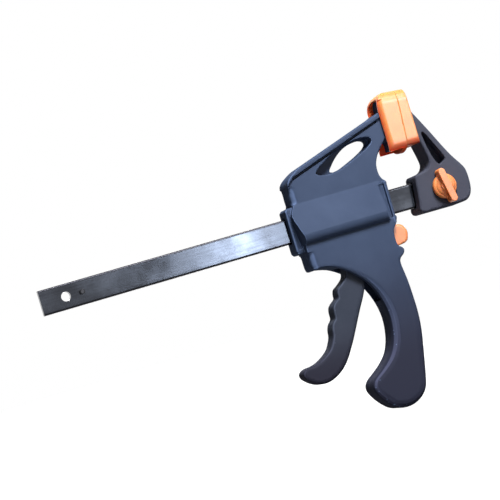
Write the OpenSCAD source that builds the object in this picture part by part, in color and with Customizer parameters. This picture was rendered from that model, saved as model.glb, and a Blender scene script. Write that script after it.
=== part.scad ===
// Quick release bar clamp, one-handed, closed jaws.
// Millimetres. The origin is the bar's centre line at the clamping plane,
// +X runs along the bar to the fixed jaw, +Z points to the jaws' tips.

/* [Bar] */
// Height of the bar's section
bar_height = 16; // [12:0.5:20]
// Thickness of the bar's section
bar_thick = 5; // [4:0.25:6]
// Radius of the bar's long edges
bar_edge = 1.2; // [0.3:0.1:1.8]
// Free end of the bar, measured from the clamping plane
bar_reach = 254; // [200:1:400]
// Bar inside the fixed jaw, measured from the clamping plane
bar_engagement = 24; // [20:0.5:26]
// Holes for the jaw's lock pin, one at each end of the bar
lock_hole_d = 6; // [4:0.1:7]
// Free end of the bar to the centre of its hole
free_hole_inset = 16; // [8:0.5:30]
// Stop pin's outer diameter
stop_pin_d = 3; // [2.5:0.1:5]
// Centre of the hole to the centre of the stop pin
stop_pin_gap = 10.3; // [8:0.1:30]
// How far the stop pin stands out of each side of the bar
stop_pin_proud = 3; // [2:0.1:5]

/* [Jaw pads] */
// Bar's centre line to the lower edge of the pads
throat = 31.5; // [28:0.5:45]
// Height of the pads
pad_height = 37; // [34:0.5:45]
// Width of the pads across the clamp
pad_width = 25.5; // [24:0.5:32]
// Radius of the pads' two upper corners
pad_corner = 8; // [3:0.5:10]
// Lean of the clamping plane towards the fixed jaw
toe_angle = 4; // [0:0.5:5]
// Moving pad, clamping face to rear lip
moving_pad_depth = 13.5; // [12:0.5:15]
// Fixed pad, clamping face to rear lip
fixed_pad_depth = 7.4; // [7:0.1:10]
// Rubber between the clamping face and the jaw's plate
pad_face = 3.2; // [2:0.1:3.5]
// Side walls of the pads
pad_wall = 2.2; // [1.5:0.1:2.2]
// Moving pad's rear lip to the plate inside it
pad_recess = 4; // [0.5:0.5:6]
// Plate that carries the fixed pad
jaw_plate = 4; // [3:0.1:5]

/* [Fixed jaw] */
// Thickness of the fixed jaw
fixed_thick = 21; // [19:0.5:23]
// Height of its base round the bar
fixed_base_height = 25; // [23:0.5:27]
// Length of its base along the bar
fixed_base_length = 35.8; // [32:0.2:40]
// Face of the base, behind the clamping plane when negative
fixed_base_start = -2.8; // [-4:0.1:-1]
// Web left between the two side pockets
fixed_web = 5; // [3:0.5:8]

/* [Jaw lock] */
// Centre of the lock pin from the clamping plane
lock_x = 14.5; // [12:0.5:18]
// Radius of the knob's disc
knob_radius = 8; // [7:0.25:9]
// Thickness of the disc
knob_disc = 3; // [2:0.25:5]
// Length of the wing
wing_length = 23; // [18:0.5:24]
// Width of the wing
wing_width = 4.5; // [3.5:0.25:7]
// How far the wing stands out of the disc
wing_height = 5; // [3:0.25:8]
// Tilt of the wing when it is locked
wing_tilt = 10; // [0:0.5:20]

/* [Housing] */
// Clamping plane to the near end of the housing
housing_near = 21; // [20:0.5:24]
// Length of the housing along the bar
housing_length = 70; // [69:0.5:80]
// Thickness of the body and the grip
body_thick = 23; // [21:0.5:26]
// Thickness of the jaw's web
arm_thick = 19; // [18:0.5:22]
// Thickness of the rim along the jaw's back
rim_thick = 22; // [20:0.5:24]
// Width of that rim
rim_width = 4; // [3:0.2:6]
// Thickness across the raised panels
panel_thick = 30; // [29:0.5:34]
// Thickness of the two collars round the bar
collar_thick = 16; // [14:0.5:20]
// Height of the jaw's back at the housing's far end
arm_root_height = 33; // [31:0.5:36]
// Lowest point of the grip, below the bar's centre line
grip_drop = 127.4; // [120:0.5:150]
// Width of the grip at its waist
grip_waist = 20; // [18:0.5:24]
// Wall of the hollow grip
grip_wall = 3.5; // [2.5:0.25:4.5]

/* [Trigger] */
// Thickness of the trigger
trigger_thick = 14; // [11:0.5:15]
// Trigger pivot, from the clamping plane
pivot_x = 58; // [57:0.5:60]
// Trigger pivot, below the bar's centre line
pivot_drop = 22; // [21.5:0.1:23]
// Diameter of the pivot pin
pivot_d = 4; // [3:0.1:5]
// Pivot to the centre of the nose that pushes the drive plate
nose_arm = 10; // [9:0.1:10.5]
// Radius of that nose
nose_radius = 3; // [2.5:0.1:3.2]
// Pivot down to the trigger's toe
trigger_length = 76.2; // [70:0.1:76.8]
// Squeeze of the trigger, degrees
trigger_travel = 17; // [8:0.5:17]

/* [Drive and brake] */
// Thickness of the drive plate
drive_plate = 4; // [3:0.25:5]
// Width of both plates
plate_width = 16; // [12:0.5:17]
// Thickness of the brake plate
brake_plate = 3; // [2:0.25:3.5]
// Lean of the brake plate when it holds
brake_lean = 7; // [5:0.5:8]
// Swing of the brake plate when the button is pressed
release_travel = 5; // [3:0.5:5]
// Wire of the drive spring
drive_wire = 1.3; // [1:0.1:1.5]
// Turns of the drive spring
drive_turns = 6; // [4:1:7]
// Wire of the brake spring
brake_wire = 0.8; // [0.6:0.1:1]
// Outside diameter of the brake spring
brake_spring_d = 7; // [6:0.5:8]
// Turns of the brake spring
brake_turns = 6; // [4:1:7]
// Width of the release button
button_width = 12; // [9:0.5:13]
// Height of the release button
button_height = 13; // [11:0.5:14]
// How far the button stands out of the housing
button_proud = 5.25; // [5:0.25:8]

/* [Fasteners] */
// Shank of the housing screws
screw_d = 3; // [2.5:0.1:3.5]
// Head of the housing screws
screw_head_d = 5.6; // [5:0.1:6.5]
// Length of the housing screws under the head
screw_length = 14; // [12:0.5:15]
// Height of their heads
screw_head = 2; // [1.5:0.1:2.2]

/* [Hidden] */

// Clearances
slide_gap = 0.25;      // bar in the housing's channels, all round
socket_gap = 0.1;      // bar in the fixed jaw, pads on their plates
pin_gap = 0.05;        // turning pins in their holes, on the radius
seat_gap = 0.02;       // pins held in the shells, on the radius
touch = 0.05;          // parts that a spring keeps together

// Shapes that follow no driving size
pad_drop = 0.8;        // moving pad's sides below the throat
pad_lip = 2.4;         // lip under its clamping face
pad_top = 1.7;         // their top wall, as a share of the side walls
lip_radius = 26;
window_web = 5;        // web round the jaw's window

// Places along X
far_x = -housing_near - housing_length;
near_x = -housing_near;
pivot = [-pivot_x, -pivot_drop];
pad_mid = throat + pad_height / 2;
stop_x = -bar_reach + free_hole_inset + stop_pin_gap;

// Bar channel
channel = [bar_thick + 2 * slide_gap, bar_height + 2 * slide_gap];

// Drive bay: the plate rests on the trigger's nose, the spring pushes it there
nose_x = pivot[0] - nose_radius;
drive_x = nose_x - touch - drive_plate;
drive_stroke = nose_arm * trigger_travel * PI / 180;
far_wall = 7;
spring_inner = norm([bar_height, bar_thick]) / 2 + 0.55;
spring_radius = spring_inner + drive_wire / 2;
spring_bore = spring_inner + drive_wire + 0.5;
plate_top = bar_height / 2 + 4.5;
plate_bottom = -pivot_drop + nose_arm - nose_radius - 1;

// Brake bay
brake_pivot = [near_x - 12, bar_height / 2 + 6.5];
brake_length = brake_pivot[1] + bar_height / 2 + 19;
brake_slot = bar_height + 2 * 0.35 + brake_plate * tan(brake_lean) * 1.6;
brake_wall_x = near_x - 22;
brake_spring_z = -bar_height / 2 - 6;
rivet_d = 2.6;
rivet_head = 1;
rivet_drop = brake_pivot[1] + bar_height / 2 + 14.4;
// Furthest the tongue and its rivet come when the button is pressed
tongue_x = brake_pivot[0] + brake_length * sin(brake_lean - release_travel)
           - brake_plate / 2 - rivet_head - 0.9;

// ---- curves --------------------------------------------------------------

// Point t of the way from b to c on the smooth curve through a, b, c and d
function curve_point(a, b, c, d, t) =
    0.5 * (2 * b + (c - a) * t + (2 * a - 5 * b + 4 * c - d) * t * t
           + (3 * b - a - 3 * c + d) * t * t * t);

// Smooth open curve through the points p, with n steps between two of them
function open_curve(p, n = 3) = concat(
    [for (i = [0:len(p) - 2], k = [0:n - 1])
        curve_point(p[max(i - 1, 0)], p[i], p[i + 1], p[min(i + 2, len(p) - 1)], k / n)],
    [p[len(p) - 1]]);

// Unit vector to the inside of an outline that runs clockwise, at its point i
function inward(p, i) =
    let (a = p[(i + len(p) - 1) % len(p)], b = p[(i + 1) % len(p)], t = [b[0] - a[0], b[1] - a[1]])
    [t[1], -t[0]] / max(norm(t), 0.001);

// Outline moved inwards by d
function inset(p, d) = [for (i = [0:len(p) - 1]) [p[i][0], p[i][1]] + d * inward(p, i)];

// One ring of a soft slab: side -1 or +1, angle 0 at the flank and 90 at the face
function ring(p, half, side, angle) = [for (i = [0:len(p) - 1])
    let (q = [p[i][0], p[i][1]] + p[i][2] * (1 - cos(angle)) * inward(p, i))
    [q[0], side * (half - p[i][2] * (1 - sin(angle))), q[1]]];

// Twice the area of the triangle a, b, c, negative when it runs clockwise
function turn(a, b, c) = (b[0] - a[0]) * (c[1] - a[1]) - (b[1] - a[1]) * (c[0] - a[0]);

// True when point i of the clockwise outline p, with the points ids left, can be cut off
function is_ear(p, ids, i) =
    let (n = len(ids), before = (i + n - 1) % n, after = (i + 1) % n,
         a = p[ids[before]], b = p[ids[i]], c = p[ids[after]])
    turn(a, b, c) < 0 && len([for (k = [0:n - 1])
        if (k != i && k != before && k != after)
            let (q = p[ids[k]])
            if (turn(a, b, q) <= 0 && turn(b, c, q) <= 0 && turn(c, a, q) <= 0) 1]) == 0;

function next_ear(p, ids, i) = i >= len(ids) ? 0 : is_ear(p, ids, i) ? i : next_ear(p, ids, i + 1);

// Triangles that fill a clockwise outline
function fill(p, ids, done = []) = len(ids) < 3 ? done :
    let (n = len(ids), i = next_ear(p, ids, 0))
    fill(p, [for (k = [1:n - 1]) ids[(i + k) % n]],
         concat(done, [[ids[(i + n - 1) % n], ids[i], ids[(i + 1) % n]]]));

// Slab across Y with rounded edges. Outline points are [x, z, edge radius], clockwise.
// front_only cuts it at y = 0 and keeps the side towards -Y.
module soft_slab(p, thick, front_only = false) {
    half = thick / 2;
    n = len(p);
    front = [for (a = [90, 60, 30, 0]) ring(p, half, -1, a)];
    rings = concat(front, front_only ? [[for (q = p) [q[0], 0, q[1]]]]
                                     : [for (a = [0, 30, 60, 90]) ring(p, half, 1, a)]);
    last = (len(rings) - 1) * n;
    all = [for (i = [0:n - 1]) i];
    front_fill = fill([for (q = rings[0]) [q[0], q[2]]], all);
    back_fill = fill([for (q = rings[len(rings) - 1]) [q[0], q[2]]], all);
    polyhedron(
        points = [for (r = rings) each r],
        faces = concat(
            front_fill,
            [for (t = back_fill) [last + t[2], last + t[1], last + t[0]]],
            [for (k = [0:len(rings) - 2], i = [0:n - 1]) let (j = (i + 1) % n)
                [k * n + i, (k + 1) * n + i, (k + 1) * n + j]],
            [for (k = [0:len(rings) - 2], i = [0:n - 1]) let (j = (i + 1) % n)
                [k * n + i, (k + 1) * n + j, k * n + j]]));
}

// Prism across Y from a 2D outline in X and Z
module across(y0, y1) {
    translate([0, y1, 0]) rotate([90, 0, 0]) linear_extrude(y1 - y0) children();
}

// Box given by its lowest and highest corner
module span(a, b) {
    translate(a) cube(b - a);
}

// Cylinder along Y
module pin_y(x, z, d, y0, y1) {
    translate([x, y1, z]) rotate([90, 0, 0]) cylinder(d = d, h = y1 - y0, $fn = 48);
}

// Helical spring along +X with flat-wound looks: wire centre on radius r
module spring_x(length, r, wire, turns) {
    sides = 6;
    steps = turns * 16;
    pitch = (length - wire) / turns;
    points = [for (k = [0:steps]) let (a = k * 360 / 16, x = wire / 2 + pitch * k / 16)
        for (s = [0:sides - 1]) let (b = s * 360 / sides, q = r + wire / 2 * cos(b))
            [x + wire / 2 * sin(b), q * cos(a), q * sin(a)]];
    faces = concat(
        [[for (s = [0:sides - 1]) s]],
        [[for (s = [sides - 1:-1:0]) steps * sides + s]],
        [for (k = [0:steps - 1], s = [0:sides - 1]) let (t = (s + 1) % sides)
            [k * sides + s, (k + 1) * sides + s, (k + 1) * sides + t]],
        [for (k = [0:steps - 1], s = [0:sides - 1]) let (t = (s + 1) % sides)
            [k * sides + s, (k + 1) * sides + t, k * sides + t]]);
    polyhedron(points = points, faces = faces);
}

// ---- pads and their plates -----------------------------------------------

// Turns its children about the middle of the clamping plane
module toe() {
    translate([0, 0, pad_mid]) rotate([0, toe_angle, 0]) translate([0, 0, -pad_mid]) children();
}

// Upright outline with two round upper corners, from x0 to x1, reaching below the throat
module arch(x0, x1, margin, below) {
    w = pad_width / 2 - margin;
    r = pad_corner - margin * 0.6;
    z0 = throat + margin - below;
    z1 = throat + pad_height - margin * pad_top;
    translate([x0, 0, 0]) rotate([90, 0, 90]) linear_extrude(x1 - x0) union() {
        translate([-w, z0]) square([2 * w, z1 - z0 - r]);
        translate([-w + r, z0]) square([2 * (w - r), z1 - z0]);
        for (s = [-1, 1]) translate([s * (w - r), z1 - r]) circle(r = r, $fn = 48);
    }
}

// Lower edges of the pads stay level although the clamping plane leans
module level_cut(drop) {
    intersection() {
        children();
        span([-pad_height, -pad_width, throat - drop], [pad_height, pad_width, throat + 2 * pad_height]);
    }
}

// Side view of the moving pad: its back rounds over into the top
pad_side = concat([[10, 0], [-moving_pad_depth, 0]],
    open_curve([[-moving_pad_depth, throat + 26], [0.3 - moving_pad_depth, throat + 29.4],
                [1.5 - moving_pad_depth, throat + 32.8], [3.8 - moving_pad_depth, throat + 35.6],
                [6.8 - moving_pad_depth, throat + 37.4], [-4, throat + 38.6]]),
    [[10, throat + 40]]);

// Rubber shoe, open at the back, with a rounded lip under the clamping face
module moving_jaw_pad() {
    color([0.95, 0.45, 0.22]) difference() {
        union() {
            level_cut(pad_drop) intersection() {
                toe() arch(-2 * moving_pad_depth, 0, 0, 4);
                across(-pad_width, pad_width) polygon(pad_side);
            }
            toe() intersection() {
                span([-pad_face, -pad_width / 2 + 1, throat - pad_drop - pad_lip],
                     [0, pad_width / 2 - 1, pad_mid]);
                translate([0, 0, throat - pad_drop - pad_lip + lip_radius]) rotate([0, 90, 0])
                    cylinder(r = lip_radius, h = 2 * pad_face, center = true, $fn = 96);
            }
        }
        toe() arch(-2 * moving_pad_depth, -pad_face, pad_wall, 0);
        level_cut(pad_drop + 1) toe() span([-2 * moving_pad_depth, pad_wall - pad_width / 2, throat - 5],
                                           [-pad_face, pad_width / 2 - pad_wall, pad_mid]);
    }
}

module fixed_jaw_pad() {
    color([0.95, 0.45, 0.22]) difference() {
        intersection() {
            level_cut(0) toe() arch(0, fixed_pad_depth + 5, 0, 4);
            span([-10, -pad_width, 0], [fixed_pad_depth, pad_width, throat + pad_height + 5]);
        }
        toe() arch(pad_face, fixed_pad_depth + 10, pad_wall, 0);
    }
}

// ---- bar -----------------------------------------------------------------

// Section of the bar, with rounded edges
module bar_section() {
    y = bar_thick / 2 - bar_edge;
    z = bar_height / 2 - bar_edge;
    square([2 * y, bar_height], center = true);
    square([bar_thick, 2 * z], center = true);
    for (a = [-y, y], b = [-z, z]) translate([a, b]) circle(r = bar_edge, $fn = 32);
}

module bar() {
    color([0.18, 0.18, 0.2]) difference() {
        translate([-bar_reach, 0, 0]) rotate([90, 0, 90])
            linear_extrude(bar_reach + bar_engagement) bar_section();
        pin_y(-bar_reach + free_hole_inset, 0, lock_hole_d, -bar_thick, bar_thick);
        pin_y(lock_x, 0, lock_hole_d, -bar_thick, bar_thick);
        pin_y(stop_x, 0, stop_pin_d, -bar_thick, bar_thick);
    }
}

// Solid pin driven through the bar, its ends chamfered
module stop_pin() {
    y = bar_thick / 2 + stop_pin_proud;
    c = stop_pin_d * 0.15;
    color([0.16, 0.16, 0.18]) translate([stop_x, 0, 0]) rotate([90, 0, 0]) rotate_extrude($fn = 48)
        polygon([[0, -y], [stop_pin_d / 2 - c, -y], [stop_pin_d / 2, c - y],
                 [stop_pin_d / 2, y - c], [stop_pin_d / 2 - c, y], [0, y]]);
}

// ---- fixed jaw -----------------------------------------------------------

fixed_x0 = fixed_base_start;
fixed_x1 = fixed_base_start + fixed_base_length;
base_top = fixed_base_height / 2 - 0.5;
base_low = base_top - fixed_base_height;

// Outline of the fixed jaw, clockwise from the lower end of its base's face
fixed_outline = concat(
    [[fixed_x0 + 0.2, base_low + 0.2, 1.2], [fixed_x0 - 1.6, base_low + 1, 1.2],
     [fixed_x0 - 2.4, base_low + 3, 1.2], [fixed_x0 - 1.6, base_low + 7, 1.2],
     [fixed_x0 + 0.4, base_top - 1.4, 1.2], [fixed_x0 + 1.6, base_top, 1.2]],
    open_curve([[fixed_x0 + 7, base_top + 0.6, 1], [7.6, base_top + 2, 1.2], [9.9, base_top + 5.6, 1.2],
                [9.6, throat - 9, 1.2], [7.8, throat, 1.2], [6.2, throat + 6, 1]]),
    [[4.8, throat + pad_height - 10, 0.5], [6.8, throat + pad_height - 12.4, 0.6]],
    open_curve([[8.8, throat + 19.5, 1.2], [12.4, throat + 13, 1.6], [16.8, throat + 4.4, 1.6],
                [21.1, throat - 4.4, 1.6], [25.6, throat - 13, 1.6], [fixed_x1 - 3, base_top, 2],
                [fixed_x1 - 0.6, 7.5, 2], [fixed_x1, 2, 2], [fixed_x1 - 0.3, -4, 2],
                [fixed_x1 - 1.8, base_low + 4, 2], [fixed_x1 - 5, base_low + 0.8, 2],
                [fixed_x1 - 10, base_low, 2]]));

// Pocket beside the web, clockwise
fixed_pocket = concat(
    open_curve([[10.2, throat + 5.4], [10.7, throat + 0.5], [11.7, throat - 5.4],
                [13, throat - 11.1], [14.5, throat - 15.2], [16.4, throat - 17.2]]),
    open_curve([[18.8, throat - 16.1], [20.8, throat - 14.3], [20.2, throat - 11.8],
                [17.7, throat - 6.4], [15.2, throat - 1], [13, throat + 3.6], [11.2, throat + 6.2]]));

module fixed_jaw() {
    socket = [bar_thick + 2 * socket_gap, bar_height + 2 * socket_gap];
    color([0.26, 0.28, 0.35]) difference() {
        union() {
            soft_slab(fixed_outline, fixed_thick);
            toe() arch(pad_face + socket_gap, pad_face + jaw_plate, pad_wall + socket_gap, 0);
        }
        for (s = [-1, 1])
            across(s < 0 ? -fixed_thick : fixed_web / 2, s < 0 ? -fixed_web / 2 : fixed_thick)
                polygon(fixed_pocket);
        span([fixed_x0 - 5, -socket[0] / 2, -socket[1] / 2],
             [bar_engagement + socket_gap, socket[0] / 2, socket[1] / 2]);
        pin_y(lock_x, 0, lock_hole_d, -fixed_thick, fixed_thick);
        pin_y(lock_x, 0, clip_d + 1, clip_y - clip_thick - 0.2, fixed_thick);
    }
}

// ---- jaw lock ------------------------------------------------------------

lock_pin_d = lock_hole_d - 2 * pin_gap;
washer_thick = 0.6;
knob_y = -fixed_thick / 2 - washer_thick - touch;
clip_d = 10;
clip_thick = 0.8;
clip_y = fixed_thick / 2 - 1.5;

// Half section of the knob's disc: a rounded edge under a low dome
knob_profile = concat([[0, 0], [knob_radius, 0]],
    [for (a = [0:18:90]) [knob_radius - knob_disc * 0.6 * (1 - cos(a)), knob_disc * (0.4 + 0.6 * sin(a))]],
    [for (a = [15:15:90])
        [(knob_radius - knob_disc * 0.6) * cos(a), knob_disc + wing_height * 0.35 * sin(a)]]);

module jaw_lock_knob() {
    tip = (wing_length - wing_width) / 2;
    top = knob_y - knob_disc - wing_height;
    color([0.95, 0.45, 0.22]) translate([lock_x, 0, 0]) rotate([0, -wing_tilt, 0]) difference() {
        union() {
            translate([0, knob_y, 0]) rotate([90, 0, 0]) rotate_extrude($fn = 64) polygon(knob_profile);
            span([-wing_width / 2, top, -tip], [wing_width / 2, knob_y, tip]);
            for (s = [-1, 1]) pin_y(0, s * tip, wing_width, top, knob_y);
        }
        pin_y(0, 0, lock_pin_d + 2 * seat_gap, top + wing_height / 2, knob_y + 1);
    }
}

module jaw_lock_pin() {
    color([0.6, 0.61, 0.63]) difference() {
        pin_y(lock_x, 0, lock_pin_d, knob_y - knob_disc - wing_height / 2, fixed_thick / 2 - 0.3);
        difference() {
            pin_y(lock_x, 0, lock_pin_d + 1, clip_y - clip_thick, clip_y);
            pin_y(lock_x, 0, lock_pin_d - 1.2, clip_y - clip_thick - 1, clip_y + 1);
        }
    }
}

module jaw_lock_washer() {
    color([0.6, 0.61, 0.63]) difference() {
        pin_y(lock_x, 0, knob_radius * 1.6, knob_y + touch, -fixed_thick / 2);
        pin_y(lock_x, 0, lock_hole_d, -fixed_thick, 0);
    }
}

// Open retaining ring in the groove of the lock pin
module jaw_lock_clip() {
    groove = lock_pin_d - 1.2;
    color([0.3, 0.3, 0.32]) difference() {
        pin_y(lock_x, 0, clip_d, clip_y - clip_thick + touch / 2, clip_y - touch / 2);
        pin_y(lock_x, 0, groove, 0, fixed_thick);
        span([lock_x - groove * 0.4, 0, -clip_d], [lock_x + groove * 0.4, fixed_thick, 0]);
    }
}

// ---- housing -------------------------------------------------------------

// Back of the jaw: from the root's far end up to the plate
head_x = 0.3 - moving_pad_depth;
rim_end = -moving_pad_depth - 0.1;
back_a = [far_x + 18.2, arm_root_height + 4.3];
back_b = [head_x - 4, throat + 24];
back_length = norm(back_b - back_a);
back_dir = (back_b - back_a) / back_length;

// Place on the jaw: u of the way along its back, d below it
function along_back(u, d) = back_a + back_dir * u * back_length + [back_dir[1], -back_dir[0]] * d;
function on_jaw(places) = [for (q = places) along_back(q[0], q[1])];
function with_edge(p, r) = [p[0], p[1], r];

arm_base = bar_height / 2 + 4;
arm_outline = concat(
    [[far_x + 5.6, arm_base, 1.6], [far_x + 5.2, arm_base + 8, 1.6]],
    open_curve([[far_x + 6, arm_root_height - 5, 1.6], [far_x + 8.2, arm_root_height - 1.4, 1.6],
                [far_x + 12, arm_root_height + 0.8, 1.4], with_edge(along_back(0, 0.6), 1)]),
    [with_edge(along_back(1, 0.6), 1), [head_x + 3, throat + 25.5, 1], [head_x + 5, throat + 6, 1]],
    open_curve([[near_x + 7.6, throat + 8.5, 1], [near_x + 3.1, throat + 3.8, 1],
                [near_x - 0.6, throat - 0.6, 1], [near_x - 3, throat - 5.5, 1],
                [near_x - 3.6, throat - 10, 1], [near_x - 3.2, throat - 13.5, 1],
                [near_x - 2, throat - 16, 1], [near_x - 0.4, throat - 17.4, 1]]),
    [[near_x, arm_base, 1]]);

rim_outline = concat(
    open_curve([[far_x + 5.7, arm_root_height - 6.4, 0.5], [far_x + 6.4, arm_root_height - 3.6, 0.8],
                [far_x + 8.3, arm_root_height - 1.2, 1], [far_x + 11.6, arm_root_height + 1.1, 1],
                with_edge(along_back(-0.05, 0.1), 1), with_edge(along_back(0, 0), 1)]),
    [with_edge(along_back(0.5, 0), 1), with_edge(along_back(1, 0), 1), [rim_end, throat + 25.5, 0.6],
     [rim_end, throat + 26 - rim_width, 0.6]],
    open_curve([with_edge(along_back(1, rim_width - 0.6), 1), with_edge(along_back(0, rim_width), 1),
                [far_x + 12.2, arm_root_height - 1.9, 1], [far_x + 9, arm_root_height - 3.4, 0.8],
                [far_x + 7, arm_root_height - 5.2, 0.6]]));

// Leaf-shaped recess on both sides of the jaw, and the window in the web behind it
leaf = concat(
    open_curve(on_jaw([[0.095, 9.6], [0.107, 8.5], [0.163, 7.1], [0.229, 6.3],
                       [0.312, 5.2], [0.403, 4.6], [0.489, 4.4], [0.571, 4.5], [0.65, 5.2],
                       [0.73, 6.4], [0.792, 7.9], [0.829, 9.6]])),
    open_curve(on_jaw([[0.836, 11], [0.816, 12.8], [0.74, 14.4], [0.63, 15.3], [0.5, 15.9],
                       [0.4, 16.2], [0.307, 15.8], [0.238, 14.8], [0.172, 13.3],
                       [0.115, 11.3]])));
window = open_curve(on_jaw([[0.272, 13.7], [0.282, 12.7], [0.342, 10.5], [0.409, 8.5],
                            [0.475, 7.1], [0.544, 6.2], [0.63, 6.1], [0.73, 7.2],
                            [0.797, 8.8], [0.822, 10.4], [0.806, 11.9], [0.735, 13.6],
                            [0.62, 14.8], [0.5, 15.4], [0.41, 15.7], [0.353, 15.5],
                            [0.3, 15]]));

// Body and grip, clockwise from the body's far upper corner
body_top = -bar_height / 2 - 1;
grip_back = near_x - 4.5;
grip_front = grip_back - grip_waist;
butt = -grip_drop;
hollow_low = butt + 22;
hollow_high = butt + 67;
body_outline = concat(
    [[near_x - 0.9, -11, 1.2], [near_x - 2.9, -14.8, 1]],
    open_curve([[near_x - 5, -17, 1], [near_x - 5.8, -20.5, 1], [near_x - 6, -24.6, 1],
                [near_x - 5.4, -28, 1], [near_x - 3.6, -29.3, 0.9], [near_x - 2.4, -31.3, 0.9],
                [near_x - 3.4, -33.8, 0.9], [near_x - 6.3, -36.4, 1.6],
                [near_x - 6.6, -40, 3], [grip_back - 0.6, -50, 4.5],
                [grip_back, -60, 5], [grip_back, -72, 5], [grip_back - 1.2, -84, 5],
                [grip_back - 4.2, butt + 29, 5], [grip_back - 7.4, butt + 15, 5],
                [grip_back - 9.6, butt + 8.6, 4.5], [grip_back - 13, butt + 4.2, 4.5],
                [grip_back - 17.6, butt + 1.3, 4.5], [grip_back - 23, butt, 4.5],
                [grip_back - 28.5, butt + 0.4, 4.5], [grip_back - 33.5, butt + 2.4, 4.5],
                [grip_back - 37.8, butt + 6.4, 4.5], [grip_back - 41.2, butt + 11, 4],
                [grip_back - 43.4, butt + 15.8, 3.5], [grip_back - 43.2, butt + 19.4, 3],
                [grip_back - 41, butt + 22.8, 3.5], [grip_back - 36, butt + 26.4, 4],
                [grip_back - 30, butt + 31.2, 4.5], [grip_front - 5, -90.2, 5],
                [grip_front - 1.6, -82, 5], [grip_front, -72, 5], [grip_front - 0.6, -63, 5],
                [grip_front - 3, -54, 4.5], [grip_front - 6.8, -46, 3.6], [grip_front - 12, -39.6, 2.6],
                [grip_front - 18, -34.2, 1.8], [grip_front - 25, -30, 1.2],
                [grip_front - 32, -28.2, 1.2], [far_x + 12, -28, 1.2]]),
    open_curve([[far_x + 8.4, -28.2, 1.2], [far_x + 6.4, -27.2, 1.2], [far_x + 5.7, -24.6, 1.2]]),
    [[far_x + 5.5, body_top, 1.2], [near_x - 1, body_top, 1.2]]);

panel_x0 = far_x + 1.8;
panel_x1 = near_x - 5;
panel_low = -bar_height / 2 - 2.7;
panel_round = 3;

// Raised panel beside the bar: it leans out of the jaw and rolls under at its lower edge
module panel() {
    out = panel_thick / 2;
    flank = body_thick / 2 - 2;
    roll = [for (a = [0:15:75]) [out - panel_round * (1 - cos(a)), panel_low + 5.7 - 5.7 * sin(a)]];
    profile = concat([[0, panel_low], [0, 17], [arm_thick / 2 - 1, 17], [arm_thick / 2 + 0.2, 14.4]],
                     roll, [[flank + 2.2, panel_low]]);
    intersection() {
        translate([panel_x0, 0, 0]) rotate([90, 0, 90]) linear_extrude(panel_x1 - panel_x0)
            polygon([for (q = profile) [-q[0], q[1]]]);
        translate([0, 0, -panel_thick]) linear_extrude(2 * panel_thick)
            polygon([[panel_x0, 1], [panel_x0, -arm_thick / 2], [panel_x0 + 2.5, -out - 0.5],
                     [panel_x1 - 2, -out - 0.5], [panel_x1, -arm_thick / 2], [panel_x1, 1]]);
        // its far end leans back towards the jaw's root
        across(-panel_thick, 1)
            polygon([[panel_x0, -30], [panel_x0, 4], [panel_x0 + 1.4, 10], [far_x + 7, 16],
                     [far_x + 8, 30], [panel_x1 + 1, 30], [panel_x1 + 1, -30]]);
    }
}

// Flange at the near end, and the wall that closes the brake bay behind it
flange_end = near_x - 1;
flange_wide = 2.4;
flange_thick = 24;
bay_wall_thick = 20.6;
flange_outline = [[flange_end - flange_wide, -13.5, 1], [flange_end - flange_wide, 13.2, 1],
                  [flange_end - flange_wide + 1, 14.2, 1], [flange_end - 0.8, 14.2, 1],
                  [flange_end, 13.2, 1], [flange_end - 0.9, -13.5, 1]];
bay_wall_outline = [[panel_x1 - 3, -13, 0.6], [panel_x1 - 3, 13, 0.6], [flange_end - 0.6, 13, 0.6],
                    [flange_end - 1.4, -13, 0.6]];

collar_outline = [[far_x, -14.5, 1.5], [far_x, 12.5, 1.5], [far_x + 1.5, 14, 1.5],
                  [near_x - 1, 14, 1.5], [near_x, 12.5, 1.5], [near_x - 1.4, -13.5, 1.5],
                  [near_x - 2.8, -15, 1.5], [far_x + 1.5, -16, 1.5]];

// Screw places in X and Z
screws = [[far_x + 11, arm_root_height - 11], [near_x - 12, 23.5], [head_x - 5.5, throat + 15],
          [far_x + 12.5, -21.5], [grip_front + 8, -52], [grip_back - 25, butt + 14]];
screw_seat = 7.2;

module front_shape() {
    soft_slab(body_outline, body_thick, true);
    soft_slab(arm_outline, arm_thick, true);
    soft_slab(rim_outline, rim_thick, true);
    soft_slab(collar_outline, collar_thick, true);
    soft_slab(bay_wall_outline, bay_wall_thick, true);
    soft_slab(flange_outline, flange_thick, true);
    panel();
    intersection() {
        toe() arch(-2 * moving_pad_depth, -pad_face - socket_gap, pad_wall + socket_gap, pad_wall);
        span([pad_recess - moving_pad_depth, -pad_width, 0], [0, 0, throat + 34]);
    }
}

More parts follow.
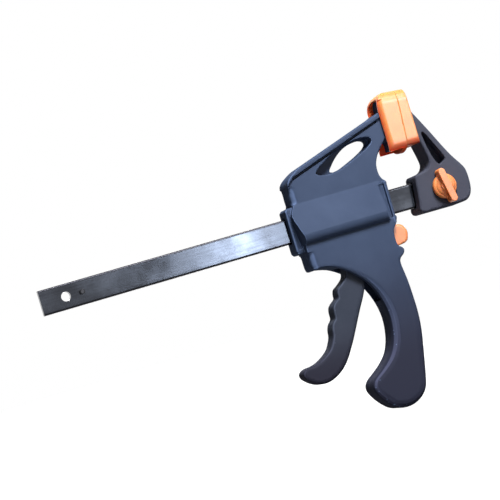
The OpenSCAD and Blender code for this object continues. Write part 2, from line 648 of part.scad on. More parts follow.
// Space for the mechanism, symmetrical about the bar
module bays() {
    y = trigger_thick / 2 + 0.3;
    py = plate_width / 2 + 0.5;
    // bar channel
    span([far_x - 1, -channel[0] / 2, -channel[1] / 2], [near_x + 5, channel[0] / 2, channel[1] / 2]);
    // round bay of the drive spring
    translate([far_x + far_wall, 0, 0]) rotate([0, 90, 0])
        cylinder(r = spring_bore, h = drive_x - far_x - far_wall + drive_plate, $fn = 64);
    // drive plate
    span([drive_x - drive_stroke - 0.6, -py, plate_bottom - 0.6], [nose_x + 1.6, py, plate_top + 0.6]);
    // trigger
    slot_x = -nose_radius - drive_stroke - 1.2;
    translate([pivot[0], 0, pivot[1]]) across(-y, y)
        polygon([[slot_x, plate_bottom - 0.6 - pivot[1]], [slot_x, 4], [-9.5, -6], [-14, -36], [14, -36],
                 [13, -22], [11.2, -12], [8, -2], [7, 4], [nose_radius + 1, pivot_drop - channel[1] / 2],
                 [slot_x, pivot_drop - channel[1] / 2]]);
    // brake plate and its swing
    span([brake_wall_x, -py, -bar_height / 2 - 9.5], [near_x - 3.4, py, brake_pivot[1] - 3]);
    translate([brake_pivot[0], 0, brake_pivot[1]]) across(-py, py)
        polygon([[-5, -4], [-2.6, 0.2], [2.6, 0.2], [5, -4]]);
    // button and the tongue that carries it
    by = button_width / 2 + 0.3;
    span([tongue_x, -by, -bar_height / 2 - 22], [near_x + 3, by, -bar_height / 2 - 6.6]);
    // seat of the brake spring
    translate([brake_wall_x - 2, 0, brake_spring_z]) rotate([0, 90, 0])
        cylinder(d = brake_spring_d + 0.8, h = 6, $fn = 48);
    // hollow grip
    intersection() {
        across(-body_thick / 2 + grip_wall, body_thick / 2 - grip_wall)
            polygon(inset(body_outline, grip_wall));
        span([2 * far_x, -body_thick, hollow_low], [0, body_thick, hollow_high]);
    }
}

module front_half() {
    pin_depth = body_thick / 2 - 2.5;
    difference() {
        front_shape();
        bays();
        across(-arm_thick, -window_web / 2) polygon(leaf);
        across(-arm_thick, arm_thick) polygon(window);
        pin_y(pivot[0], pivot[1], pivot_d + 2 * seat_gap, -pin_depth, pin_depth);
    }
}

module housing_front_shell() {
    color([0.24, 0.28, 0.38]) difference() {
        front_half();
        for (s = screws) pin_y(s[0], s[1], screw_d + 2 * seat_gap, screw_seat - screw_length - 0.3, 1);
    }
}

module housing_rear_shell() {
    color([0.24, 0.28, 0.38]) difference() {
        mirror([0, 1, 0]) front_half();
        for (s = screws) {
            pin_y(s[0], s[1], screw_d + 0.4, -1, 20);
            pin_y(s[0], s[1], screw_head_d + 0.6, screw_seat, 20);
        }
    }
}

module housing_screws() {
    color([0.55, 0.56, 0.58]) for (s = screws) difference() {
        union() {
            pin_y(s[0], s[1], screw_d, screw_seat - screw_length, screw_seat + 0.5);
            pin_y(s[0], s[1], screw_head_d, screw_seat, screw_seat + screw_head);
        }
        for (a = [0, 90]) translate([s[0], screw_seat + screw_head, s[1]]) rotate([0, a, 0])
            cube([screw_head_d * 0.6, 2, 0.8], center = true);
    }
}

// ---- trigger -------------------------------------------------------------

// Outline for a length of 76.2, from the pivot, clockwise from the right of the nose
trigger_drawn = 76.2;
lever = [
    [5, 3, 0.8], [6, -5, 0.8], [6, -14, 1], [4.4, -23.6, 2], [1.6, -30.2, 2.8], [-2.6, -37.2, 3],
    [-7.2, -45.1, 3], [-11.7, -53, 3], [-15.9, -59.7, 3], [-19.8, -65.4, 3], [-24, -70, 3],
    [-29, -73.5, 2.8], [-34, -75.6, 2.6], [-38, -76.2, 2.4], [-41.8, -75.8, 2.2],
    [-45.4, -74.3, 2], [-48.8, -71.8, 1.8], [-51, -69.2, 1.6], [-51.4, -66.8, 1.4],
    [-50, -64.9, 1.4], [-47, -63.7, 1.4], [-42.8, -63.3, 1.6], [-38.2, -61.9, 1.8],
    [-33.4, -59.2, 2], [-29.9, -56.3, 2], [-27.8, -53.2, 2], [-25.8, -49.2, 1.8],
    [-25.1, -45, 1.6], [-23.5, -41.4, 1.4], [-21.2, -38.8, 1.6], [-20.9, -34.8, 1.4],
    [-20.1, -31.4, 1.4], [-17.9, -29, 1.6], [-15.3, -27, 1.5], [-14.9, -24.2, 1.4],
    [-13.8, -21.2, 1.4], [-10.8, -19.2, 1.4], [-6.6, -15.6, 1], [-5.4, -11, 0.8], [-5.2, -2, 0.8],
    [-4.5, 2.4, 0.8], [-2.8, 5, 0.8]];
trigger_scale = trigger_length / trigger_drawn;

trigger_outline = concat(
    [for (a = [180:-30:0])
        [pivot[0] + nose_radius * cos(a), pivot[1] + nose_arm + nose_radius * sin(a), 0.8]],
    open_curve([for (q = lever) concat(pivot + [q[0], q[1]] * trigger_scale, q[2])]));

module trigger() {
    color([0.2, 0.23, 0.3]) difference() {
        soft_slab(trigger_outline, trigger_thick);
        pin_y(pivot[0], pivot[1], pivot_d + 2 * pin_gap, -trigger_thick, trigger_thick);
    }
}

module trigger_pivot_pin() {
    y = body_thick / 2 - 2.7;
    color([0.6, 0.61, 0.63]) pin_y(pivot[0], pivot[1], pivot_d, -y, y);
}

// ---- drive and brake -----------------------------------------------------

module drive_plate() {
    color([0.5, 0.5, 0.52]) difference() {
        span([drive_x, -plate_width / 2, plate_bottom],
             [drive_x + drive_plate, plate_width / 2, plate_top]);
        span([drive_x - 1, -bar_thick / 2 - 0.3, -bar_height / 2 - 0.35],
             [drive_x + drive_plate + 1, bar_thick / 2 + 0.3, bar_height / 2 + 0.35]);
    }
}

module drive_spring() {
    color([0.7, 0.7, 0.72]) translate([far_x + far_wall, 0, 0])
        spring_x(drive_x - far_x - far_wall, spring_radius, drive_wire, drive_turns);
}

// Puts its children, which hang straight down from the origin, at the brake's lean
module at_brake() {
    translate([brake_pivot[0], 0, brake_pivot[1]]) rotate([0, -brake_lean, 0]) children();
}

module brake_plate() {
    color([0.5, 0.5, 0.52]) at_brake() difference() {
        union() {
            span([-brake_plate / 2, -plate_width / 2, -brake_pivot[1] - bar_height / 2 - 7.5],
                 [brake_plate / 2, plate_width / 2, -0.2]);
            span([-brake_plate / 2, -button_width / 2 + 2.5, -brake_length],
                 [brake_plate / 2, button_width / 2 - 2.5, -1]);
        }
        translate([0, 0, -brake_pivot[1] / cos(brake_lean)])
            cube([brake_plate + 2, bar_thick + 0.6, brake_slot], center = true);
        rotate([0, 90, 0]) translate([rivet_drop, 0, -5]) cylinder(d = rivet_d, h = 10, $fn = 32);
    }
}

module button_rivet() {
    color([0.6, 0.61, 0.63]) at_brake() rotate([0, 90, 0]) translate([rivet_drop, 0, 0]) {
        translate([0, 0, -brake_plate / 2 - rivet_head])
            cylinder(d = rivet_d + 2, h = rivet_head, $fn = 32);
        translate([0, 0, -brake_plate / 2 - 0.5]) cylinder(d = rivet_d, h = brake_plate + 4.5, $fn = 32);
    }
}

module brake_spring() {
    lean_x = brake_pivot[0] + (brake_pivot[1] - brake_spring_z) * tan(brake_lean)
             - brake_plate / 2 / cos(brake_lean) - brake_spring_d / 2 * tan(brake_lean);
    color([0.7, 0.7, 0.72]) translate([brake_wall_x - 2, 0, brake_spring_z])
        spring_x(lean_x - brake_wall_x + 2 - touch, (brake_spring_d - brake_wire) / 2,
                 brake_wire, brake_turns);
}

// Thumb button over the brake plate's tongue
module release_button() {
    base_x = brake_plate / 2;
    reach = near_x + button_proud - brake_pivot[0] - rivet_drop * sin(brake_lean);
    z = -rivet_drop;
    h = button_height / 2;
    outline = concat(
        [[base_x, z - h + 1.5, 1]],
        [[base_x, z + h - 1.5, 1], [base_x + 1.5, z + h, 1]],
        open_curve([[reach - 4.4, z + h, 1.5], [reach - 1.6, z + h - 1.6, 2], [reach - 0.2, z + h - 5, 2],
                    [reach, z, 2], [reach - 0.4, z - h + 4.4, 2], [reach - 2.2, z - h + 1, 2],
                    [reach - 5, z - h, 1.5]]),
        [[base_x + 1.5, z - h, 1]]);
    color([0.95, 0.45, 0.22]) at_brake() difference() {
        soft_slab(outline, button_width);
        rotate([0, 90, 0]) translate([rivet_drop, 0, 0]) cylinder(d = rivet_d, h = base_x + 4, $fn = 32);
    }
}

bar();
stop_pin();
fixed_jaw();
fixed_jaw_pad();
jaw_lock_knob();
jaw_lock_pin();
jaw_lock_washer();
jaw_lock_clip();
housing_front_shell();
housing_rear_shell();
housing_screws();
moving_jaw_pad();
trigger();
trigger_pivot_pin();
drive_plate();
drive_spring();
brake_plate();
brake_spring();
release_button();
button_rivet();
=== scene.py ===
import math
import bmesh
import bpy
from mathutils import Matrix, Vector


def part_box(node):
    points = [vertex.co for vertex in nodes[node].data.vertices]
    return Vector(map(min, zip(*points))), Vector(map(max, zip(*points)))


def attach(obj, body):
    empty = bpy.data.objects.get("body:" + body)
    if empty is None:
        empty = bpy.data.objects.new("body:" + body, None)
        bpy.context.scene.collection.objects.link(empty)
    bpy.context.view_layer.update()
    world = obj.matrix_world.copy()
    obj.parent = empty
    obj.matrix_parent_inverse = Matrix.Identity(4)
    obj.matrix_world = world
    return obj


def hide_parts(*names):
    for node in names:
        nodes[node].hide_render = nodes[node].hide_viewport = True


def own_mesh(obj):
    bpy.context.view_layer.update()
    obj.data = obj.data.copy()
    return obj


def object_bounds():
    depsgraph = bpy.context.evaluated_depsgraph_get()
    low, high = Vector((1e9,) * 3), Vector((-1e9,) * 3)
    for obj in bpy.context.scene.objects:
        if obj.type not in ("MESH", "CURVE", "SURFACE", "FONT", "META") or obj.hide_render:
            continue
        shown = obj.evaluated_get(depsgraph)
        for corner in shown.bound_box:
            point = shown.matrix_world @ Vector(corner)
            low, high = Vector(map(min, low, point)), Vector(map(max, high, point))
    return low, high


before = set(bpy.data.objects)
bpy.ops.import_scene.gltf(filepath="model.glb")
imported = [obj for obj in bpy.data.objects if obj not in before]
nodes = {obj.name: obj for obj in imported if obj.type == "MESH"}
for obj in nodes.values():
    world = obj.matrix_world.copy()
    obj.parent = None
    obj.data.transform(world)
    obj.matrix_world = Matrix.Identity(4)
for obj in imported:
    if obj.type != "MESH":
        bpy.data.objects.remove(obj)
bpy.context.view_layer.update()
scene = bpy.context.scene
MM = 0.001


# ---- materials -------------------------------------------------------------

# Places and heights in the materials are in metres, in the object's own frame.
# NOISE_SPAN is where nearly all values of a noise lie.
NOISE_SPAN = (0.3, 0.7)


class Nodes:
    """A material's node tree, with short calls to add nodes and join them."""

    def __init__(self, name):
        self.material = bpy.data.materials.new(name)
        self.material.use_nodes = True
        self.tree = self.material.node_tree
        self.shader = self.tree.nodes["Principled BSDF"]
        coordinates = self.add("ShaderNodeTexCoord")
        self.place = coordinates.outputs["Object"]
        self.facing = coordinates.outputs["Normal"]

    def add(self, kind, **values):
        node = self.tree.nodes.new(kind)
        for key, value in values.items():
            setattr(node, key, value)
        return node

    def join(self, output, target):
        """Joins an output to a socket, or to the shader's socket of that name."""
        if isinstance(target, str):
            target = self.shader.inputs[target]
        self.tree.links.new(output, target)

    def set(self, **values):
        for key, value in values.items():
            self.shader.inputs[key.replace("_", " ")].default_value = value

    def remap(self, value, low, high, new_low=0.0, new_high=1.0, kind="LINEAR"):
        """value from low to high becomes new_low to new_high, and stays there outside."""
        node = self.add("ShaderNodeMapRange", interpolation_type=kind)
        ends = {"From Min": low, "From Max": high, "To Min": new_low, "To Max": new_high}
        for key, number in ends.items():
            node.inputs[key].default_value = number
        self.join(value, node.inputs["Value"])
        return node.outputs["Result"]

    def stretched(self, scale):
        """The place on the object, scaled on each axis."""
        node = self.add("ShaderNodeMapping")
        node.inputs["Scale"].default_value = scale
        self.join(self.place, node.inputs["Vector"])
        return node.outputs["Vector"]

    def noise(self, scale, detail=3.0, rough=0.5, place=None):
        """Noise with scale waves per metre."""
        node = self.add("ShaderNodeTexNoise")
        node.inputs["Scale"].default_value = scale
        node.inputs["Detail"].default_value = detail
        node.inputs["Roughness"].default_value = rough
        self.join(place or self.place, node.inputs["Vector"])
        return node.outputs["Fac"]

    def ramp(self, value, low, dark, high, light):
        """The colour dark where value is low, and light where it is high."""
        node = self.add("ShaderNodeValToRGB")
        for element, at, colour in zip(node.color_ramp.elements, (low, high), (dark, light)):
            element.position = at
            element.color = (*colour, 1)
        self.join(value, node.inputs["Fac"])
        return node.outputs["Color"]

    def spread(self, value, middle, reach):
        """Noise becomes a number up to reach away from middle."""
        return self.remap(value, *NOISE_SPAN, middle - reach, middle + reach)

    def reach(self, none, full, axis="Z", vector=None):
        """0 at none and 1 at full, two places on the object's axis, or on the vector's if given."""
        axes = self.add("ShaderNodeSeparateXYZ")
        self.join(vector or self.place, axes.inputs["Vector"])
        return self.remap(axes.outputs[axis], none, full, kind="SMOOTHSTEP")

    def edges(self, none, full):
        """0 and 1 at two values of pointiness: 0.5 is flat, an outer edge more, a hollow less."""
        geometry = self.add("ShaderNodeNewGeometry")
        return self.remap(geometry.outputs["Pointiness"], none, full)

    def mix(self, how, share, a, b):
        """Mixes the colours a and b, each an output or three numbers."""
        node = self.add("ShaderNodeMix", data_type="RGBA", blend_type=how)
        for value, target in ((share, node.inputs[0]), (a, node.inputs[6]), (b, node.inputs[7])):
            if isinstance(value, bpy.types.NodeSocket):
                self.join(value, target)
            else:
                target.default_value = (*value, 1) if isinstance(value, tuple) else value
        return node.outputs[2]

    def bump(self, value, height, strength, normal=None):
        node = self.add("ShaderNodeBump")
        node.inputs["Strength"].default_value = strength
        node.inputs["Distance"].default_value = height
        self.join(value, node.inputs["Height"])
        if normal:
            self.join(normal, node.inputs["Normal"])
        return node.outputs["Normal"]

    def skin(self, waves, wave_height, grain, grain_height):
        """Slow waves and a fine grain, in the surface and in the coat on it."""
        slow = self.bump(self.noise(waves, 2), wave_height, 0.5)
        fine = self.bump(self.noise(grain, 2, 0.6), grain_height, 1.0, slow)
        self.join(fine, "Normal")
        self.join(fine, "Coat Normal")


def plastic(name, dark, light, hollow, roughness, gloss, grain=0.00003, shade_below=None, bright=0,
            clear=0.0):
    """Moulded plastic: faint flow marks, a fine spark-eroded grain, outer edges a little paler as a
    painted highlight, and inner corners darker as painted shade. held is two heights and the
    darker colour below them, a painted shade. bright is how much paler its rounded front edges
    towards -X are painted, a painted highlight. clear is how much of the light goes in and comes
    out again beside."""
    m = Nodes(name)
    flow = m.noise(38, 4, 0.55)
    colour = m.ramp(flow, 0.32, dark, 0.7, light)
    # Painted shade: the colour turns darker towards the bottom, below the heights in held.
    if shade_below:
        high, low, shade_colour = shade_below
        colour = m.mix("MIX", m.reach(high, low), colour, shade_colour)
    # Painted highlight: outer edges paler. Painted shade: inner corners darker.
    outer_edge, inner_corner = m.edges(0.54, 0.7), m.edges(0.49, 0.41)
    edge_highlight = tuple(min(1, c * 1.4 + 0.004) for c in light)
    colour = m.mix("MIX", outer_edge, colour, edge_highlight)
    colour = m.mix("MIX", inner_corner, colour, hollow)
    # Painted highlight: rounded front edges facing -X turn paler.
    if bright:
        left = m.reach(-0.14, -0.4, "X", m.facing)
        front = m.reach(-0.5, -0.72, "Y", m.facing)
        pale = m.mix("MULTIPLY", left, colour, (bright,) * 3)
        colour = m.mix("MIX", front, colour, pale)
    m.join(colour, "Base Color")
    m.join(m.spread(m.noise(160), roughness, 0.06), "Roughness")
    m.skin(waves=90, wave_height=0.00008, grain=2600, grain_height=grain)
    m.set(Specular_IOR_Level=0, Coat_Weight=gloss, Coat_Roughness=roughness, Coat_IOR=1.5,
          Subsurface_Weight=clear, Subsurface_Scale=0.003, Subsurface_Radius=(1.0, 0.3, 0.1))
    return m.material


def rubber(name, dark, light, deep):
    """Soft moulded rubber with a dusty bloom and a fine matt skin. Its colour turns deep towards
    the pads' foot and the moving pad's open end, a painted shade, and the bloom fades at the foot."""
    m = Nodes(name)
    foot = m.reach(0.038, 0.0315)
    open_end = m.reach(-0.0105, -0.0135, "X")
    worn = m.reach(0.0335, 0.0305)
    colour = m.ramp(m.noise(60, 5, 0.6), 0.3, dark, 0.68, light)
    # Painted shade: deep colour towards the pads' foot and the moving pad's open end.
    for share in (foot, open_end):
        colour = m.mix("MIX", share, colour, deep)
    m.join(colour, "Base Color")
    m.join(m.spread(m.noise(300), 0.49, 0.07), "Roughness")
    m.skin(waves=130, wave_height=0.00006, grain=3200, grain_height=0.00002)
    m.join(m.remap(worn, 0, 1, 1.0, 0.15), "Coat Weight")
    m.set(Specular_IOR_Level=0, Coat_Roughness=0.42, Coat_IOR=1.5,
          Subsurface_Weight=0.45, Subsurface_Scale=0.004, Subsurface_Radius=(1.0, 0.22, 0.06))
    return m.material


def brushed(name, dark, light, roughness, along, metal=1.0, depth=0.000012, black=()):
    """Drawn steel: fine lines and faint stains. along is how often the lines change per metre of
    each axis. black holds pairs of heights, from the first to the second of which the steel turns
    dark, a painted shade."""
    m = Nodes(name)
    lines = m.noise(1.0, 4, 0.6, m.stretched(along))
    stains = m.noise(45, 5, 0.6)
    stained = m.ramp(stains, 0.3, STAIN, 0.65, (1, 1, 1))
    colour = m.mix("MULTIPLY", 0.35, m.ramp(lines, 0.3, dark, 0.7, light), stained)
    # Painted shade: dark strips between each pair of heights.
    for none, full in black:
        colour = m.mix("MIX", m.reach(none, full), colour, EDGE_SHADE)
    m.join(colour, "Base Color")
    m.join(m.spread(stains, roughness, 0.07), "Roughness")
    m.join(m.bump(lines, depth, 0.8), "Normal")
    m.set(Metallic=metal)
    return m.material


# Colours of painted shade in inner corners, of stains, and of painted shade along the bar's edges
CORNER_SHADE = (0.008, 0.009, 0.013)
STAIN = (0.62, 0.62, 0.62)
EDGE_SHADE = (0.013, 0.013, 0.016)
# Which way a steel's lines run, and how often they change per metre of each axis
ALONG_X, ALONG_Y, ALONG_Z = (12, 900, 900), (900, 40, 900), (900, 900, 30)
SPRING_LINES, BLACK_LINES = (60, 900, 900), (900, 60, 900)

# Both are painted darker towards the bottom as shade, and paler on rounded -X edges as a highlight.
housing_plastic = plastic(
    "housing_plastic", (0.05, 0.073, 0.135), (0.066, 0.094, 0.168), CORNER_SHADE, 0.45, gloss=0.05,
    shade_below=(-0.01, -0.1, (0.033, 0.036, 0.062)), bright=2.4)
trigger_plastic = plastic(
    "trigger_plastic", (0.045, 0.054, 0.08), (0.059, 0.069, 0.1), CORNER_SHADE, 0.45, gloss=0.05,
    shade_below=(-0.06, -0.095, (0.03, 0.03, 0.048)), bright=1.8)
jaw_plastic = plastic(
    "jaw_plastic", (0.062, 0.066, 0.095), (0.076, 0.082, 0.115), CORNER_SHADE, 0.45, gloss=0.05)
# Its inner corners are painted deep red as shade.
orange_plastic = plastic(
    "orange_plastic", (0.86, 0.23, 0.06), (0.94, 0.29, 0.08), (0.62, 0.06, 0.02), 0.48, gloss=1.0,
    grain=0.00001, clear=0.25)
orange_rubber = rubber(
    "orange_rubber", (0.87, 0.27, 0.06), (0.94, 0.33, 0.08), (0.78, 0.11, 0.03))
# Its top and bottom edges are painted dark as shade.
bar_steel = brushed(
    "bar_steel", (0.042, 0.0445, 0.053), (0.056, 0.06, 0.071), 0.18, ALONG_X, depth=0.0000003,
    black=((-0.0063, -0.0071), (0.0067, 0.0074)))
pin_steel = brushed("pin_steel", (0.4, 0.4, 0.42), (0.55, 0.55, 0.57), 0.32, ALONG_Y)
plate_steel = brushed("plate_steel", (0.3, 0.3, 0.32), (0.42, 0.42, 0.44), 0.4, ALONG_Z)
spring_steel = brushed("spring_steel", (0.5, 0.5, 0.52), (0.62, 0.62, 0.64), 0.28, SPRING_LINES)
black_steel = brushed(
    "black_steel", (0.02, 0.02, 0.024), (0.035, 0.035, 0.04), 0.42, BLACK_LINES, metal=0.8)


# ---- pieces ----------------------------------------------------------------

def finish_piece(obj, material, slot, body, *replaced, smooth=True):
    """Gives a piece its material and says which body it rides on and what it replaces. slot is
    unused.
    """
    obj.data.materials.clear()
    obj.data.materials.append(material)
    for face in obj.data.polygons:
        face.use_smooth = smooth
    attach(obj, body)
    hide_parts(*replaced)


def new_object(name, work):
    """An object with the mesh in work, which is then freed."""
    mesh = bpy.data.meshes.new(name)
    work.to_mesh(mesh)
    work.free()
    obj = bpy.data.objects.new(name, mesh)
    scene.collection.objects.link(obj)
    return obj


def copy_of(name, node):
    """A new object with the CAD node's mesh, its split vertices joined."""
    work = bmesh.new()
    work.from_mesh(nodes[node].data)
    bmesh.ops.remove_doubles(work, verts=work.verts, dist=1e-6)
    return new_object(name, work)


def apply_modifiers(obj):
    bpy.context.view_layer.update()
    graph = bpy.context.evaluated_depsgraph_get()
    mesh = bpy.data.meshes.new_from_object(obj.evaluated_get(graph))
    obj.modifiers.clear()
    obj.data = mesh
    return obj


def carve(obj, near, far):
    """Cuts a pocket out of obj: the space between two loops of as many places in mm."""
    work = bmesh.new()
    ends = [[work.verts.new(Vector(place) * MM) for place in loop] for loop in (near, far)]
    work.faces.new(ends[0])
    work.faces.new(ends[1][::-1])
    for k in range(len(near)):
        j = (k + 1) % len(near)
        work.faces.new((ends[0][k], ends[1][k], ends[1][j], ends[0][j]))
    bmesh.ops.recalc_face_normals(work, faces=work.faces)
    tool = new_object("pocket", work)
    cut = obj.modifiers.new("cut", "BOOLEAN")
    cut.operation = "DIFFERENCE"
    cut.object = tool
    apply_modifiers(obj)
    bpy.data.objects.remove(tool)


def add_boss(obj, x, z, radius, near, far):
    """Adds a round boss to obj, with its axis along Y from near to far, all in mm."""
    work = bmesh.new()
    work.from_mesh(obj.data)
    middle = Matrix.Translation(Vector((x, (near + far) / 2, z)) * MM)
    bmesh.ops.create_cone(work, cap_ends=True, segments=48, radius1=radius * MM,
                          radius2=radius * MM, depth=abs(far - near) * MM,
                          matrix=middle @ Matrix.Rotation(math.pi / 2, 4, "X"))
    work.to_mesh(obj.data)
    work.free()


def thin_out(obj, share):
    """Leaves obj that share of its faces."""
    thin = obj.modifiers.new("thin", "DECIMATE")
    thin.ratio = share
    return apply_modifiers(obj)


def moulded(name, node, voxel, rounds=4, share=0.5, pockets=(), bosses=()):
    """The node's shape as a moulding: carved, remeshed with voxels of that size, its edges
    rounded over in that many rounds, and thinned out to a share of its faces."""
    obj = copy_of(name, node)
    for pocket in pockets:
        carve(obj, *pocket)
    for boss in bosses:
        add_boss(obj, *boss)
    remesh = obj.modifiers.new("remesh", "REMESH")
    remesh.mode = "VOXEL"
    remesh.voxel_size = voxel * MM
    smooth = obj.modifiers.new("smooth", "SMOOTH")
    smooth.factor = 0.5
    smooth.iterations = rounds
    return thin_out(obj, share)


# How deep in mm the crown reaches below a pad's cheek, over how much of that it fades out, and how
# deep what still counts as the cheek itself lies. The power makes it steeper towards the edge.
CROWN_DEPTH, CROWN_FADE, CHEEK_DEPTH, CROWN_POWER = 1, 0.6, 0.4, 1.8
PAD_SHARE = 0.4


def soften(obj, rear, end, foot):
    """Crowns a pad's cheeks. end and foot are how far from the open end (the side of X that rear
    gives) and from the lower edge the crown starts, and how far it falls away, in mm."""
    places = [v.co / MM for v in obj.data.vertices]
    cheek = max(p.y for p in places)
    ends, feet = {}, {}
    for p in places:
        if abs(p.y) > cheek - CHEEK_DEPTH:
            ends[round(p.z)] = max(ends.get(round(p.z), -math.inf), rear * p.x)
            feet[round(p.x)] = min(feet.get(round(p.x), math.inf), p.z)
    for v, p in zip(obj.data.vertices, places):
        depth = cheek - abs(p.y)
        if depth > CROWN_DEPTH:
            continue
        along = max(0, 1 - max(0, ends.get(round(p.z), math.inf) - rear * p.x) / end[0])
        down = max(0, 1 - max(0, p.z - feet.get(round(p.x), -math.inf)) / foot[0])
        fall = math.hypot(end[1] * along ** CROWN_POWER, foot[1] * down ** CROWN_POWER)
        v.co.y -= math.copysign(fall * min(1, (CROWN_DEPTH - depth) / CROWN_FADE), p.y) * MM
    return thin_out(obj, PAD_SHARE)


# Heights in mm from and to which the housing's far edge is rounded, above and below the panel,
# each with the length over which the rounding fades
ROUNDED_SPANS = (((13, 4), (29, 8)), ((-30, 4), (-13, 6)))


def rounded_share(z):
    """How much of the rounding the far edge has at the height z, from 0 to 1."""
    shares = [min((z - low) / low_fade, (high - z) / high_fade)
              for (low, low_fade), (high, high_fade) in ROUNDED_SPANS]
    share = min(1, max(0, *shares))
    return share ** 2 * (3 - 2 * share)


def round_far_edge(obj, radius):
    """Rounds the far edge of a housing half, above and below the panel's end."""
    places = [v.co / MM for v in obj.data.vertices]
    edge, cheek = {}, {}
    for p in places:
        edge[round(p.z)] = min(edge.get(round(p.z), math.inf), p.x)
    for p in places:
        if p.x < edge[round(p.z)] + radius:
            cheek[round(p.z)] = max(cheek.get(round(p.z), 0), abs(p.y))
    for v, p in zip(obj.data.vertices, places):
        share = rounded_share(p.z)
        low, high = math.floor(p.z), math.floor(p.z) + 1
        if share <= 0 or low not in cheek or high not in cheek:
            continue
        left = edge[low] + (edge[high] - edge[low]) * (p.z - low)
        t = min(1, 1 - (p.x - left) / radius)
        if t <= 0:
            continue
        limit = max(cheek[low], cheek[high]) - radius * (1 - math.sqrt(1 - t * t))
        if abs(p.y) > limit:
            v.co.y = math.copysign(abs(p.y) * (1 - share) + limit * share, p.y) * MM


def machined(name, node, width):
    """The node's shape with its sharp edges broken by a small bevel."""
    obj = copy_of(name, node)
    bevel = obj.modifiers.new("bevel", "BEVEL")
    bevel.width = width * MM
    bevel.segments = 2
    bevel.limit_method = "ANGLE"
    bevel.angle_limit = math.radians(40)
    return apply_modifiers(obj)


def coil(name, node, wire, turns, sides=12, steps=32):
    """A helical spring along X of round wire, as long and as wide as the node."""
    low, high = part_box(node)
    middle = (low + high) / 2
    radius = (high.z - low.z) / 2 - wire / 2
    length = high.x - low.x - wire
    count = turns * steps
    work = bmesh.new()
    rings = []
    for k in range(count + 1):
        turn = 2 * math.pi * k / steps
        x = low.x + wire / 2 + length * k / count
        ring = []
        for s in range(sides):
            round_wire = 2 * math.pi * s / sides
            out = radius + wire / 2 * math.cos(round_wire)
            ring.append(work.verts.new((x + wire / 2 * math.sin(round_wire),
                                        middle.y + out * math.cos(turn),
                                        middle.z + out * math.sin(turn))))
        rings.append(ring)
    for a, b in zip(rings, rings[1:]):
        for s in range(sides):
            t = (s + 1) % sides
            work.faces.new((a[s], a[t], b[t], b[s]))
    work.faces.new(rings[0])
    work.faces.new(rings[-1][::-1])
    bmesh.ops.recalc_face_normals(work, faces=work.faces)
    return new_object(name, work)


# All in mm. In X and Z: the groove under the rim of the jaw's back, and the gap at the panel's near
# end. In X and Y: the pocket at the panel's far end, at its foot and at its top.
RIM_GROOVE = [(-81.1, 31.43), (-80.6, 29.9), (-15.86, 51.41), (-16.27, 52.65)]
RIM_GROOVE_Y = (8.2, 12)
NEAR_GAP = [(-27.6, -10), (-24.4, -10), (-24.4, 12.5), (-27.6, 12.5)]
NEAR_GAP_Y = (9.8, 16)
FAR_FOOT = [(-89.2, 7), (-86.4, 7), (-83, 15.7), (-89.2, 15.7)]
FAR_TOP = [(-89.2, 7), (-89, 7), (-88.3, 15.7), (-89.2, 15.7)]
FAR_FOOT_Z, FAR_TOP_Z = -12.8, 11.5
FAR_EDGE_RADIUS = 5
# Closes the knob over the lock pin's end: X, Z, radius, and the two ends in Y
PIN_BOSS = (14.5, 0, 3.6, -15.4, -17)
BAR_BEVEL = 0.02

# Voxels of the remesh in mm: for the large mouldings, the pads, and the small ones
LARGE = 0.35
PAD = 0.3
SMALL = 0.2

for side, out in (("front", -1), ("rear", 1)):
    pockets = [[[(x, out * y, z) for x, z in loop] for y in depths]
               for loop, depths in ((RIM_GROOVE, RIM_GROOVE_Y), (NEAR_GAP, NEAR_GAP_Y))]
    pockets.append([[(x, out * y, z) for x, y in loop]
                    for loop, z in ((FAR_FOOT, FAR_FOOT_Z), (FAR_TOP, FAR_TOP_Z))])
    node = f"housing_{side}_shell"
    shell = moulded(f"{side}_housing_half", node, LARGE, pockets=pockets)
    round_far_edge(shell, FAR_EDGE_RADIUS)
    finish_piece(shell, housing_plastic, "housing_plastic", "housing", node)

finish_piece(moulded("fixed_jaw_moulding", "fixed_jaw", LARGE),
             jaw_plastic, "jaw_plastic", "bar_assembly", "fixed_jaw")
finish_piece(moulded("trigger_lever", "trigger", LARGE),
             trigger_plastic, "housing_plastic", "trigger", "trigger")
finish_piece(soften(moulded("moving_pad", "moving_jaw_pad", PAD, rounds=1, share=1.0),
                    rear=-1, end=(3.6, 2), foot=(4.2, 1.8)),
             orange_rubber, "orange_rubber", "housing", "moving_jaw_pad")
finish_piece(soften(moulded("fixed_pad", "fixed_jaw_pad", PAD, rounds=1, share=1.0),
                    rear=1, end=(1, 0.4), foot=(4, 1.5)),
             orange_rubber, "orange_rubber", "bar_assembly", "fixed_jaw_pad")
finish_piece(moulded("lock_knob", "jaw_lock_knob", SMALL, rounds=7, bosses=[PIN_BOSS]),
             orange_plastic, "orange_plastic", "jaw_lock", "jaw_lock_knob")
finish_piece(moulded("thumb_button", "release_button", SMALL),
             orange_plastic, "orange_plastic", "release", "release_button")
finish_piece(machined("flat_bar", "bar", BAR_BEVEL),
             bar_steel, "bar_steel", "bar_assembly", "bar", smooth=False)

for name, node, wire, joint in (("drive_coil", "drive_spring", 1.3, "drive_plate_slide"),
                                ("brake_coil", "brake_spring", 0.8, "release_pivot")):
    spring = coil(name, node, wire * MM, turns=6)
    finish_piece(spring, spring_steel, "spring_steel", "housing", node)
    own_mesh(spring)

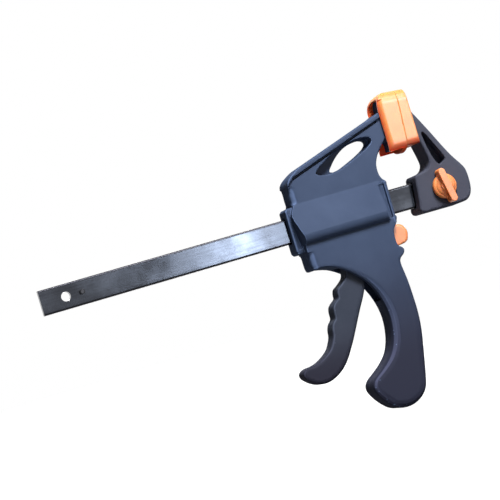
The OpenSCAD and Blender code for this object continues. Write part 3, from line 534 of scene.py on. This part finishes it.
CARRIED = {
    "stop_pin": black_steel, "jaw_lock_pin": pin_steel, "jaw_lock_washer": pin_steel,
    "jaw_lock_clip": black_steel, "housing_screws": pin_steel, "trigger_pivot_pin": pin_steel,
    "drive_plate": plate_steel, "brake_plate": plate_steel, "button_rivet": pin_steel,
}
for name, material in CARRIED.items():
    if not nodes[name].data.materials:
        nodes[name].data.materials.append(material)
    for slot in nodes[name].material_slots:
        slot.link = "OBJECT"
        slot.material = material


# ---- floor, light and camera ------------------------------------------------

def seen_directly(tree):
    """1 for camera, glossy and transmission rays, 0 for the rest."""
    path = tree.nodes.new("ShaderNodeLightPath")
    out = path.outputs["Is Camera Ray"]
    for other in ("Is Glossy Ray", "Is Transmission Ray"):
        larger = tree.nodes.new("ShaderNodeMath")
        larger.operation = "MAXIMUM"
        tree.links.new(out, larger.inputs[0])
        tree.links.new(path.outputs[other], larger.inputs[1])
        out = larger.outputs[0]
    return out


# How bright the world is as a light, and the floor where it is seen: 1 is white
AMBIENT = 0.03
FLOOR_GLOW = 0.96
# The floor's colours, how far it reaches each way, and how far it lies under the part, in metres
FLOOR_DARK, FLOOR_LIGHT = (0.12,) * 3, (0.14,) * 3
FLOOR_REACH = 8
FLOOR_GAP = 0.0002

world = bpy.data.worlds.new("studio")
scene.world = world
world.use_nodes = True
tree = world.node_tree
background = tree.nodes["Background"]
level = tree.nodes.new("ShaderNodeMapRange")
level.inputs["To Min"].default_value = AMBIENT
level.inputs["To Max"].default_value = 1.0
tree.links.new(seen_directly(tree), level.inputs["Value"])
background.inputs["Color"].default_value = (1, 1, 1, 1)
tree.links.new(level.outputs["Result"], background.inputs["Strength"])

floor_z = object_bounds()[0].z - FLOOR_GAP
floor_mesh = bpy.data.meshes.new("floor")
floor_mesh.from_pydata([(x * FLOOR_REACH, y * FLOOR_REACH, floor_z)
                        for x, y in ((-1, -1), (1, -1), (1, 1), (-1, 1))], [], [(0, 1, 2, 3)])
floor = bpy.data.objects.new("floor", floor_mesh)
scene.collection.objects.link(floor)
paper = Nodes("floor_paper")
paper.join(paper.ramp(paper.noise(3), 0.3, FLOOR_DARK, 0.7, FLOOR_LIGHT), "Base Color")
paper.join(paper.remap(seen_directly(paper.tree), 0, 1, 0, FLOOR_GLOW), "Emission Strength")
paper.set(Roughness=0.9, Specular_IOR_Level=0.1, Emission_Color=(1, 1, 1, 1))
floor_mesh.materials.append(paper.material)


def lamp(name, place, aim, size, watts, colour=(1, 1, 1)):
    data = bpy.data.lights.new(name, "AREA")
    data.shape = "RECTANGLE"
    data.size, data.size_y = size
    data.energy = watts
    data.color = colour
    obj = bpy.data.objects.new(name, data)
    obj.location = place
    obj.rotation_euler = (Vector(aim) - Vector(place)).to_track_quat("-Z", "Y").to_euler()
    obj.visible_camera = False
    scene.collection.objects.link(obj)
    return obj


# key and back light the surfaces. The others light by reflection only: glint is for the bar's
# front, back_glint for its back, and sheen for the pads' cheeks.
CENTRE = (-0.1, 0, -0.02)
PADS = (0, 0, 0.05)
COOL = (0.88, 1.0, 1.14)
lamp("key", (0.15, -0.75, 1.1), CENTRE, (0.45, 0.45), 34)
lamp("back", (0.5, 1.2, 0.7), CENTRE, (0.9, 0.9), 20).visible_glossy = False
lamp("glint", (0.164, -1.16, 0.06), CENTRE, (0.08, 0.2), 1.6, COOL).visible_diffuse = False
lamp("back_glint", (0.3, 1.1, 0.12), CENTRE, (0.9, 0.3), 8).visible_diffuse = False
lamp("sheen", (0.5, -1.1, 0.4), PADS, (0.2, 0.2), 26).visible_diffuse = False

# The camera: degrees round the part, above it, and of roll, the place at the photo's centre, the
# distance, and the focal length in the photo's pixels. The distance is assumed, azimuth and
# elevation are round values near the best fit to the photo, and the rest was fitted to them.
AZIMUTH, ELEVATION, ROLL = (math.radians(angle) for angle in (-14, -2, 16.7475))
TARGET = Vector((-117.625, 0, -4.091)) * MM
DISTANCE = 1.2
FOCAL_PIXELS = 1907.02
PHOTO_PIXELS = 500

back = Vector((math.sin(AZIMUTH) * math.cos(ELEVATION), -math.cos(AZIMUTH) * math.cos(ELEVATION),
               math.sin(ELEVATION)))
level_right = Vector((math.cos(AZIMUTH), math.sin(AZIMUTH), 0))
level_up = back.cross(level_right)
right = math.cos(ROLL) * level_right - math.sin(ROLL) * level_up
up = math.sin(ROLL) * level_right + math.cos(ROLL) * level_up

camera_data = bpy.data.cameras.new("camera")
camera = bpy.data.objects.new("camera", camera_data)
scene.collection.objects.link(camera)
camera_data.sensor_width = 36
camera_data.lens = camera_data.sensor_width * FOCAL_PIXELS / PHOTO_PIXELS
camera_data.clip_start, camera_data.clip_end = 0.01, 50
turned = Matrix((right, up, back)).transposed().to_4x4()
camera.matrix_world = Matrix.Translation(TARGET + back * DISTANCE) @ turned
scene.camera = camera

scene.view_settings.view_transform = "Standard"
